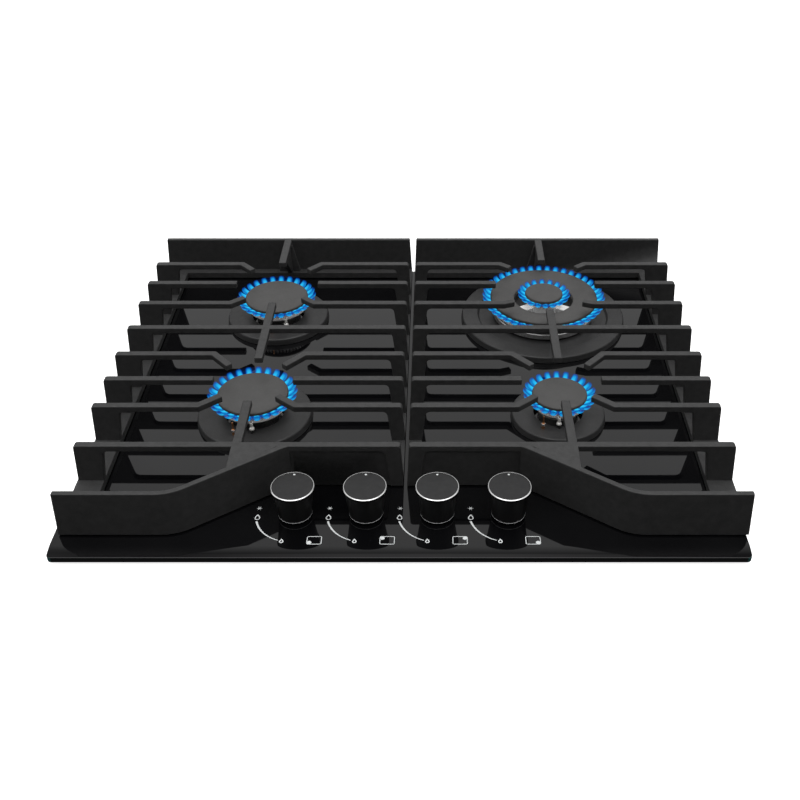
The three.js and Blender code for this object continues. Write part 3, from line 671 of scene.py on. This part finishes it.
def electrode(place):
    """A spark electrode: a ceramic sleeve with a collar, a slim neck and a steel tip."""
    node = f"electrode_{place}"
    seat = round_of(node)
    collar_low, collar_high = glass_top + 10.8 * MM, glass_top + 13.4 * MM
    slim, waist, stem, tip = 1.35 * MM, 0.9 * MM, 1.8 * MM, 0.6 * MM
    profile = [
        (0, seat.low),
        (stem, seat.low),
        (stem, collar_low - 0.4 * MM),
        (seat.radius - 0.5 * MM, collar_low),
        (seat.radius, collar_low + 0.8 * MM),
        (seat.radius - 0.3 * MM, collar_high - 0.6 * MM),
        (seat.radius - 1.1 * MM, collar_high),
        (waist, collar_high + 0.3 * MM),
        (waist, collar_high + 1.3 * MM),
        (slim, collar_high + 1.7 * MM),
        (slim, seat.high - 2.4 * MM),
        (tip, seat.high - 1.8 * MM),
        (tip, seat.high - 0.3 * MM),
        (tip / 2, seat.high),
        (0, seat.high),
    ]
    shape = softened(spun(profile, turns=32), 0.15 * MM)
    paint(shape, 1, lambda face: face.calc_center_median().z > seat.high - 1.9 * MM)
    # The stem below the collar is painted black as shade under the crown.
    paint(shape, 2, lambda face: face.calc_center_median().z < collar_low - 0.3 * MM)
    piece(f"spark_electrode_{place}", shape, "cooktop", (fired_ceramic, drawn_steel, rubber_and_painted_shade),
          at=(seat.x, seat.y, 0), stands_for=(node,))


def thermocouple(place):
    """A flame sensor: a copper probe held by a bright nut."""
    node = f"thermocouple_{place}"
    seat = round_of(node)
    slim = seat.radius * 0.55
    nut_low, nut_high, nut_radius = glass_top + 10.8 * MM, glass_top + 13 * MM, 2.3 * MM
    profile = [
        (0, seat.low),
        (seat.radius, seat.low),
        (seat.radius, nut_high + 0.4 * MM),
        (slim, nut_high + 1 * MM),
        (slim, seat.high - 0.8 * MM),
        (slim / 2, seat.high),
        (0, seat.high),
    ]
    probe = softened(spun(profile, turns=32), 0.15 * MM)
    nut = spun([(seat.radius * 0.9, nut_low), (nut_radius, nut_low), (nut_radius, nut_high),
                (seat.radius * 0.9, nut_high)], closed=True, turns=6)
    paint(nut, 1, lambda face: True)
    piece(f"flame_sensor_{place}", joined(probe, softened(nut, 0.25 * MM)), "cooktop",
          (warm_copper, bright_chrome), at=(seat.x, seat.y, 0), stands_for=(node,))


for burner in burners:
    crown(burner)
    cap(burner)
    burner_neck(burner, plain_brim)
    flange(burner, burner.bore + flange_gap)
burner_neck(large_burner, wide_brim)
flange(large_burner, large_flange_hole, large_flange_step)
for burner in (*burners, large_burner):
    electrode(burner.place)
    thermocouple(burner.place)

# ---------- the large burner's double ring ----------

ring_bore = 32.3 * MM
trough_wall = 4.6 * MM
ring_dish = 3.5 * MM
spoke_width = 11 * MM
inner_ports = 26
inner_petals = 18
cap_overhang = 2.2 * MM
spigot_length = 1.7 * MM

large_seat = round_of("crown_rear_right")
core_radius = round_of("inner_cap_rear_right").radius - cap_overhang
ring_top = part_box("cap_rear_right")[0].z + ring_dish + spigot_length


def is_opening_wall_painted_shade(face):
    middle = face.calc_center_median()
    inward = face.normal.dot(middle) < 0 and abs(face.normal.z) < 0.3
    return inward and middle.xy.length < ring_bore + 2 * MM


def double_crown():
    """The outer trough and the inner ring, held together by three spokes."""
    seat, core = large_seat, core_radius
    foot = seat.low + 3.2 * MM
    wall = ring_top - port_depth + 0.3 * MM
    outer = [
        (ring_bore + 1 * MM, foot),
        (seat.radius - 6 * MM, foot),
        (seat.radius - 1 * MM, foot + 2.6 * MM),
        (seat.radius + 0.3 * MM, foot + 3.2 * MM),
        (seat.radius + 0.3 * MM, foot + 4.4 * MM),
        (seat.radius - 0.2 * MM, wall),
        (seat.radius - tooth_depth, wall),
        (seat.radius - tooth_depth, foot + 4 * MM),
        (ring_bore + trough_wall + 1 * MM, foot + 4 * MM),
        (ring_bore + trough_wall + 1 * MM, ring_top - ring_dish),
        (ring_bore + 1 * MM, ring_top - ring_dish),
    ]
    hub_low, hub_high = large_burner.bore - 9.5 * MM, large_burner.bore - 5.5 * MM
    inner_wall = seat.high - port_depth + 0.3 * MM
    inner = [
        (hub_low, seat.low),
        (hub_high, seat.low),
        (hub_high, foot),
        (core - 1 * MM, foot + 1 * MM),
        (core + 0.4 * MM, foot + 2 * MM),
        (core + 0.4 * MM, foot + 4 * MM),
        (core - 0.2 * MM, inner_wall),
        (core - 4 * MM, inner_wall),
        (core - 4 * MM, foot + 4 * MM),
        (hub_low, foot + 4 * MM),
    ]
    spoke = block((core - 1 * MM, -spoke_width / 2, foot + 1 * MM),
                  (ring_bore + 3 * MM, spoke_width / 2, foot + 8.2 * MM))
    inner_comb = comb(core, seat.high, inner_ports)
    trough = softened(spun(outer, closed=True, turns=128), 0.3 * MM)
    # The inner wall of the trough's opening is painted dark as shade; the crown is bare aluminium.
    paint(trough, 1, is_opening_wall_painted_shade)
    shape = joined(
        trough,
        comb(seat.radius, ring_top, large_burner.ports),
        softened(spun(inner, closed=True), 0.3 * MM),
        inner_comb,
        around(softened(spoke, 0.8 * MM), 3, math.radians(90)),
    )
    piece("double_crown", shape, "crown_rear_right", (bright_aluminium, enamel_and_painted_shade),
          at=(seat.x, seat.y, 0), stands_for=("crown_rear_right",))


def ring_cap():
    seat = round_of("cap_rear_right")
    top, lip = seat.high, seat.high - 4.8 * MM
    well = ring_bore + trough_wall
    profile = [
        (ring_bore, lip - ring_dish + 0.8 * MM),
        (ring_bore + 0.8 * MM, lip - ring_dish),
        (well + 2 * MM, lip - ring_dish),
        (well + 2 * MM, seat.low),
        (well + 4 * MM, seat.low),
        (well + 4 * MM, lip),
        (seat.radius - 1.2 * MM, lip),
        (seat.radius, lip + 1.2 * MM),
        (seat.radius - 0.2 * MM, top - 1.8 * MM),
        (seat.radius - 1 * MM, top - 0.9 * MM),
        (seat.radius - 3 * MM, top - 0.3 * MM),
        (seat.radius - 10 * MM, top),
        (ring_bore + 3 * MM, top - ring_dish),
        (ring_bore + 1.2 * MM, top - ring_dish - 0.4 * MM),
        (ring_bore + 0.2 * MM, top - ring_dish - 1.2 * MM),
    ]
    piece("ring_cap", softened(spun(profile, closed=True, turns=128), 0.35 * MM), "cap_rear_right",
          enamel_cap, at=(seat.x, seat.y, 0), stands_for=("cap_rear_right",))


def inner_cap():
    seat = round_of("inner_cap_rear_right")
    top, lip = seat.high, seat.high - cap_thickness
    radius = seat.radius
    profile = [
        (0, lip),
        (radius - 8.5 * MM, lip),
        (radius - 8.5 * MM, seat.low),
        (radius - 6.7 * MM, seat.low),
        (radius - 6.7 * MM, lip),
        (radius - 1 * MM, lip),
        (radius, lip + 1 * MM),
        (radius - 0.2 * MM, top - 1.5 * MM),
        (radius - 0.8 * MM, top - 0.7 * MM),
        (radius - 2 * MM, top - 0.3 * MM),
        (0, top),
    ]
    piece("inner_cap", softened(spun(profile), 0.3 * MM), "inner_cap_rear_right", enamel_cap,
          at=(seat.x, seat.y, 0), stands_for=("inner_cap_rear_right",))


double_crown()
ring_cap()
inner_cap()

# ---------- flames ----------

flame_length = 10.5 * MM
inner_flame_length = 10 * MM
flame_drop = 1 * MM
flame_rise = 6.8 * MM
flame_depth = 4.2 * MM
widest_petal = 7.5 * MM


def flame_curve(along, length):
    """How far out and up a flame is at a part of its length: it starts level and curls upwards."""
    return length * (1 - (1 - along) ** 1.6), flame_rise * length / flame_length * along**1.8


def petals(radius, root, count, length, width):
    """A ring of small flames that lean outwards from the ports and curl upwards."""
    petal = bmesh.new()
    warmth = petal.verts.layers.float.new("warmth")
    bmesh.ops.create_uvsphere(petal, u_segments=10, v_segments=12, radius=1)
    upright = Matrix.Rotation(math.pi / 2, 3, "Y")
    bmesh.ops.rotate(petal, verts=petal.verts[:], cent=(0, 0, 0), matrix=upright)
    for vert in petal.verts:
        along = (vert.co.x + 1) / 2
        vert[warmth] = (1 - abs(vert.co.y)) * (1 - along**2)
        out, up = flame_curve(along, length)
        lean = math.radians(60) * along
        fuller = max(vert.co.yz.length, 0.01) ** -0.35
        thick = vert.co.z * fuller * flame_depth / 2
        slim = vert.co.y * fuller * width / 2
        vert.co = Vector((out - thick * math.sin(lean), slim, up + thick * math.cos(lean)))
    bmesh.ops.translate(petal, verts=petal.verts[:], vec=(radius, 0, root))
    return around(petal, count, FULL_TURN / count / 2)


def veil(radius, root, length):
    """The faint blue sheet of gas between the small flames."""
    thin = 0.5 * MM
    steps = [flame_curve(n / 5, length) for n in range(6)]
    profile = [(radius + out, root + up + thin) for out, up in steps]
    profile += [(radius + out + thin, root + up - thin) for out, up in reversed(steps)]
    shape = spun(profile, closed=True, turns=96)
    warmth = shape.verts.layers.float.new("warmth")
    for vert in shape.verts:
        vert[warmth] = 0.25 * max(0.0, 1 - (vert.co.xy.length - radius) / (length + thin))
    return shape


def flames(name, body, place, root, count, length):
    """The flames of one ring of ports. They light nothing, as the studio light is far stronger."""
    x, y, radius = place
    width = min(widest_petal, FULL_TURN * (radius + length / 2) / count * 0.8)
    for kind, shape, gas in (
        ("petals", petals(radius - 0.5 * MM, root, count, length, width), flame_blue),
        ("veil", veil(radius + 0.2 * MM, root, length * 0.9), flame_veil),
    ):
        flame = piece(f"flame_{kind}_{name}", shape, body, gas, at=(x, y, 0))
        flame.visible_diffuse = False
        flame.visible_glossy = False
        flame.visible_shadow = False


for burner in burners:
    seat = round_of(f"crown_{burner.place}")
    flames(burner.place, f"crown_{burner.place}", (seat.x, seat.y, seat.radius),
           seat.high - flame_drop, burner.petals, flame_length)
outer_ring = (large_seat.x, large_seat.y, large_seat.radius)
inner_ring = (large_seat.x, large_seat.y, core_radius)
flames("rear_right_outer", "crown_rear_right", outer_ring, ring_top - flame_drop,
       large_burner.petals, flame_length)
flames("rear_right_inner", "crown_rear_right", inner_ring, large_seat.high - flame_drop,
       inner_petals, inner_flame_length)

# ---------- knobs and dial marks ----------

ring_width = 1.05 * MM
ring_slope = (0.6 * MM, 0.4 * MM)
knob_foot = 14.8 * MM
foot_highlight_band = 0.9 * MM
collar_radius = 12 * MM
collar_height = 1.6 * MM
socket_radius = 3.3 * MM
hub_radius = 5.8 * MM
socket_depth = 9.2 * MM
hollow_depth = 12 * MM
dot_radius = 0.95 * MM
dot_reach = 15.1 * MM
dot_raise = 0.05 * MM
ink_low = 0.02 * MM
ink_thickness = 0.06 * MM
arc_radius = 33.9 * MM
line_width = 0.62 * MM


def knob(number):
    node = f"knob_{number}"
    seat = round_of(node)
    ring = round_of(f"knob_ring_{number}")
    top = seat.high
    ledge = ring.low - 0.3 * MM
    face_radius = ring.radius - ring_width - 0.2 * MM
    wall = 2 * MM
    profile = [
        (0, top - socket_depth),
        (socket_radius, top - socket_depth),
        (socket_radius, seat.low + 1 * MM),
        (hub_radius, seat.low + 1 * MM),
        (hub_radius, top - hollow_depth),
        (knob_foot - wall, top - hollow_depth),
        (knob_foot - wall, seat.low),
        (knob_foot - 0.2 * MM, seat.low),
        (knob_foot, seat.low + 0.2 * MM),
        (knob_foot, seat.low + foot_highlight_band),
        (knob_foot - 0.2 * MM, seat.low + foot_highlight_band + 0.1 * MM),
        (seat.radius - 0.1 * MM, ledge - 1.2 * MM),
        (seat.radius, ledge - 0.4 * MM),
        (seat.radius - 0.3 * MM, ledge),
        (face_radius, ledge),
        (face_radius, top - 0.2 * MM),
        (face_radius - 0.2 * MM, top),
        (0, top),
    ]
    shape = softened(spun(profile), 0.1 * MM)

    def is_face(face):
        return face.normal.z > 0.7 and face.calc_center_median().z > top - 0.6 * MM

    # The light band round the foot is a painted highlight on the knob's lower edge.
    def is_painted_foot_highlight(face):
        middle = face.calc_center_median()
        outside = face.normal.z < 0.5 and middle.xy.length > knob_foot - 0.1 * MM
        return outside and middle.z < seat.low + foot_highlight_band

    paint(shape, 1, is_face)
    paint(shape, 2, is_painted_foot_highlight)
    piece(f"knob_body_{number}", shape, f"turn_{number}", (knob_black_and_painted_shade, knob_face, knob_foot_painted_highlight),
          at=(seat.x, seat.y, 0), stands_for=(node,))
    bottom, crest = top - 0.1 * MM, top + dot_raise
    dot = spun([(0, bottom), (dot_radius, bottom), (dot_radius, crest), (0, crest)], turns=24)
    piece(f"knob_dot_{number}", dot, f"turn_{number}", white_print_painted_glow,
          at=(seat.x, seat.y + dot_reach, 0))


def knob_ring(number):
    node = f"knob_ring_{number}"
    seat = round_of(node)
    inside = seat.radius - ring_width
    profile = [
        (inside, seat.low),
        (seat.radius - 0.2 * MM, seat.low),
        (seat.radius, seat.low + 0.2 * MM),
        (seat.radius, seat.high - ring_slope[1]),
        (seat.radius - ring_slope[0], seat.high),
        (inside, seat.high),
    ]
    shape = softened(spun(profile, closed=True), 0.08 * MM)
    # The ring's outer side below the slope is painted black as shade instead of chrome.
    paint(shape, 1, lambda face: face.calc_center_median().z < seat.high - ring_slope[1] - 0.1 * MM)
    piece(f"chrome_ring_{number}", shape, f"turn_{number}", (bright_chrome, knob_black_and_painted_shade),
          at=(seat.x, seat.y, 0), stands_for=(node,))


def collar(number):
    """The black sealing collar that lies on the glass under each knob."""
    seat = round_of(f"knob_{number}")
    inside = 6.5 * MM
    profile = [
        (inside, glass_top + 0.02 * MM),
        (collar_radius, glass_top + 0.02 * MM),
        (collar_radius, glass_top + 0.5 * MM),
        (collar_radius - 1 * MM, glass_top + collar_height - 0.5 * MM),
        (inside + 1 * MM, glass_top + collar_height - 0.5 * MM),
        (inside, glass_top + 0.6 * MM),
    ]
    piece(f"knob_collar_{number}", softened(spun(profile, closed=True), 0.2 * MM), "cooktop",
          rubber_and_painted_shade, at=(seat.x, seat.y, 0))


def teardrop(width, height, steps=28):
    """Points round a flame's outline, its tip at the rear."""
    fullness = 1.54  # twice the largest value of sin(a) sin(a / 2)
    points = []
    for n in range(steps):
        turn = FULL_TURN * n / steps
        half = width / fullness * math.sin(turn) * math.sin(turn / 2)
        points.append((half, height / 2 * math.cos(turn)))
    return points


def loop(shape, points):
    verts = [shape.verts.new((x, y, 0)) for x, y in points]
    return [shape.edges.new(pair) for pair in zip(verts, verts[1:] + verts[:1])]


def outlined(outer, inner):
    """A flat line between two outlines."""
    shape = bmesh.new()
    edges = loop(shape, outer) + loop(shape, inner)
    bmesh.ops.bridge_loops(shape, edges=edges)
    return shape


def filled(points):
    shape = bmesh.new()
    bmesh.ops.contextual_create(shape, geom=loop(shape, points))
    return shape


def scaled(points, factor, lower=0.0):
    return [(x * factor, y * factor - lower) for x, y in points]


def disc(radius, steps=20):
    return [(radius * math.cos(FULL_TURN * n / steps), radius * math.sin(FULL_TURN * n / steps))
            for n in range(steps)]


def rounded_box(width, height, radius, steps=5):
    points = []
    for corner in range(4):
        x = (width / 2 - radius) * (1 if corner in (0, 3) else -1)
        y = (height / 2 - radius) * (1 if corner in (0, 1) else -1)
        for n in range(steps + 1):
            turn = (corner + n / steps) * math.pi / 2
            points.append((x + radius * math.cos(turn), y + radius * math.sin(turn)))
    return points


def moved(shape, x, y):
    bmesh.ops.translate(shape, verts=shape.verts[:], vec=(x, y, 0))
    return shape


def arc(radius, width, start, end, steps=32):
    """A curved line about the knob's middle, between two angles, thinner towards its end."""
    shape = bmesh.new()
    inner = shape.verts.new((radius - width / 2, 0, 0))
    outer = shape.verts.new((radius + width / 2, 0, 0))
    edge = shape.edges.new((inner, outer))
    bmesh.ops.rotate(shape, verts=[inner, outer], cent=(0, 0, 0),
                     matrix=Matrix.Rotation(start, 3, "Z"))
    bmesh.ops.spin(shape, geom=[inner, outer, edge], cent=(0, 0, 0), axis=(0, 0, 1), dvec=(0, 0, 0),
                   angle=end - start, steps=steps)
    for vert in shape.verts:
        gone = (math.atan2(vert.co.y, vert.co.x) % FULL_TURN - start) / (end - start)
        reach = vert.co.xy.length
        vert.co *= (radius + (reach - radius) * (1 - 0.6 * gone)) / reach
    return shape


spark_place = (-32.5 * MM, 8.2 * MM)
large_flame_place = (-32.7 * MM, -3.1 * MM)
small_flame_place = (-8.4 * MM, -32.6 * MM)
hob_sign_place = (19.3 * MM, -31.9 * MM)
arc_start = math.radians(194.5)
arc_end = math.radians(250)
arc_width = 1.7 * MM
large_flame_size = (4.8 * MM, 7 * MM)
small_flame_size = (3.8 * MM, 5.2 * MM)
spark_size = (5.4 * MM, 0.9 * MM)
hob_icon = (12.8 * MM, 9.8 * MM)
burner_mark = 1.9 * MM
burner_mark_inset = 2.3 * MM
icon_corners = {1: (-1, -1), 2: (-1, 1), 3: (1, 1), 4: (1, -1)}


def spark():
    """A small burst of three crossing strokes."""
    length, width = spark_size
    stroke = [(-length / 2, 0), (0, -width / 2), (length / 2, 0), (0, width / 2)]
    strokes = []
    for turn in (0, 60, 120):
        shape = filled(stroke)
        bmesh.ops.rotate(shape, verts=shape.verts[:], cent=(0, 0, 0),
                         matrix=Matrix.Rotation(math.radians(turn), 3, "Z"))
        strokes.append(shape)
    return joined(*strokes)


def hob_sign(number):
    """A small plan of the hob with the knob's own burner marked."""
    width, height = hob_icon
    frame_line = outlined(rounded_box(width, height, 1.6 * MM),
                          rounded_box(width - 2 * line_width, height - 2 * line_width, 0.8 * MM))
    across, up = icon_corners[number]
    mark = moved(filled(disc(burner_mark)), across * (width / 2 - burner_mark_inset),
                 up * (height / 2 - burner_mark_inset))
    return joined(frame_line, mark)


def dial_marks(number):
    seat = round_of(f"knob_{number}")
    large, small = teardrop(*large_flame_size), teardrop(*small_flame_size)
    shape = joined(
        moved(spark(), *spark_place),
        moved(outlined(large, scaled(large, 0.65, 0.4 * MM)), *large_flame_place),
        arc(arc_radius, arc_width, arc_start, arc_end),
        moved(outlined(small, scaled(small, 0.5, 0.3 * MM)), *small_flame_place),
        moved(hob_sign(number), *hob_sign_place),
    )
    bmesh.ops.recalc_face_normals(shape, faces=shape.faces[:])
    raised = bmesh.ops.extrude_face_region(shape, geom=shape.faces[:])
    top = [item for item in raised["geom"] if isinstance(item, bmesh.types.BMVert)]
    bmesh.ops.translate(shape, verts=top, vec=(0, 0, ink_thickness))
    bmesh.ops.recalc_face_normals(shape, faces=shape.faces[:])
    piece(f"dial_marks_{number}", shape, "cooktop", white_print_painted_glow,
          at=(seat.x, seat.y, glass_top + ink_low))


for number in knob_numbers:
    knob(number)
    knob_ring(number)
    collar(number)
    dial_marks(number)

# ---------- what lies below the glass ----------

for number in knob_numbers:
    dress(f"tap_{number}", aluminium)
    dress(f"push_pin_{number}", drawn_steel)
    dress(f"spindle_{number}", drawn_steel)
for burner in (*burners, large_burner):
    dress(f"feed_pipe_{burner.place}", drawn_pipe)
dress("burner_box", zinc)
dress("rim_seal", rubber_and_painted_shade)
dress("gas_rail", drawn_pipe)
dress("rail_bracket_1", zinc)
dress("rail_bracket_2", zinc)
dress("inlet_union", turned_brass)
dress("spark_generator", pale_plastic)
dress("cable_gland", rubber_and_painted_shade)

# ---------- studio ----------

camera_place = (31.6 * MM, -843.5 * MM, glass_top + 598.6 * MM)
camera_pitch = math.radians(37.06)
focal_length = 1010.3  # in pixels of the photograph
photo_width = 800
optical_axis = (437.1, 416.9)
sensor = 36

camera_data = bpy.data.cameras.new("studio_camera")
camera_data.sensor_width = sensor
camera_data.lens = sensor * focal_length / photo_width
camera_data.shift_x = (photo_width / 2 - optical_axis[0]) / photo_width
camera_data.shift_y = (optical_axis[1] - photo_width / 2) / photo_width
camera_data.clip_end = 50
camera = bpy.data.objects.new("studio_camera", camera_data)
camera.location = camera_place
camera.rotation_euler = (math.pi / 2 - camera_pitch, 0, 0)
bpy.context.scene.collection.objects.link(camera)
bpy.context.scene.camera = camera

room_light = 0.06
SoftLight = namedtuple("SoftLight", "name azimuth elevation reach power")
soft_lights = (
    SoftLight("rear", 90, 30, (38, 18), 0.7),
    SoftLight("top", -90, 80, (38, 16), 2.6),
    SoftLight("left", 180, 40, (40, 15), 0.9),
    SoftLight("right", 0, 40, (40, 15), 0.9),
)
worktop_reach = 3.0
cutout = (562 * MM, 458 * MM)


def worktop():
    """The pale surface that the hob is let into."""
    shape = bmesh.new()
    for width, depth in ((2 * worktop_reach, 2 * worktop_reach), cutout):
        loop(shape, [(width / 2, depth / 2), (-width / 2, depth / 2), (-width / 2, -depth / 2),
                     (width / 2, -depth / 2)])
    bmesh.ops.bridge_loops(shape, edges=shape.edges[:])
    bmesh.ops.translate(shape, verts=shape.verts[:], vec=(0, 0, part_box("rim_seal")[0].z - 0.2 * MM))
    mesh = bpy.data.meshes.new("worktop")
    shape.to_mesh(mesh)
    shape.free()
    pale = surface("pale_worktop", (0.85, 0.85, 0.85), 0.9, specular=0.1)
    socket(pale, "Emission Color").default_value = (1, 1, 1, 1)
    socket(pale, "Emission Strength").default_value = 0.85
    mesh.materials.append(pale)
    floor = bpy.data.objects.new("worktop", mesh)
    floor.visible_diffuse = False
    floor.visible_glossy = False
    bpy.context.scene.collection.objects.link(floor)


def soft_light():
    """A dim room with broad soft lights: their angles are in degrees, from the cook's right."""
    world = bpy.data.worlds.new("studio")
    bpy.context.scene.world = world
    world.use_nodes = True
    nodes, links = world.node_tree.nodes, world.node_tree.links
    way = nodes.new("ShaderNodeTexCoord")
    total = None
    for light in soft_lights:
        azimuth, elevation = math.radians(light.azimuth), math.radians(light.elevation)
        towards = nodes.new("ShaderNodeVectorMath")
        towards.name = light.name
        towards.operation = "DOT_PRODUCT"
        towards.inputs[1].default_value = (
            math.cos(azimuth) * math.cos(elevation),
            math.sin(azimuth) * math.cos(elevation),
            math.sin(elevation),
        )
        level = nodes.new("ShaderNodeMapRange")
        level.inputs["From Min"].default_value = math.cos(math.radians(light.reach[0]))
        level.inputs["From Max"].default_value = math.cos(math.radians(light.reach[1]))
        level.inputs["To Max"].default_value = light.power
        links.new(way.outputs["Generated"], towards.inputs[0])
        links.new(towards.outputs["Value"], level.inputs["Value"])
        added = nodes.new("ShaderNodeMath")
        added.operation = "ADD"
        added.inputs[1].default_value = room_light
        links.new(level.outputs["Result"], added.inputs[0])
        if total:
            links.new(total, added.inputs[1])
        total = added.outputs["Value"]
    links.new(total, nodes["Background"].inputs["Strength"])
    nodes["Background"].inputs["Color"].default_value = (1, 1, 1, 1)


worktop()
soft_light()
bpy.context.scene.view_settings.view_transform = "Standard"
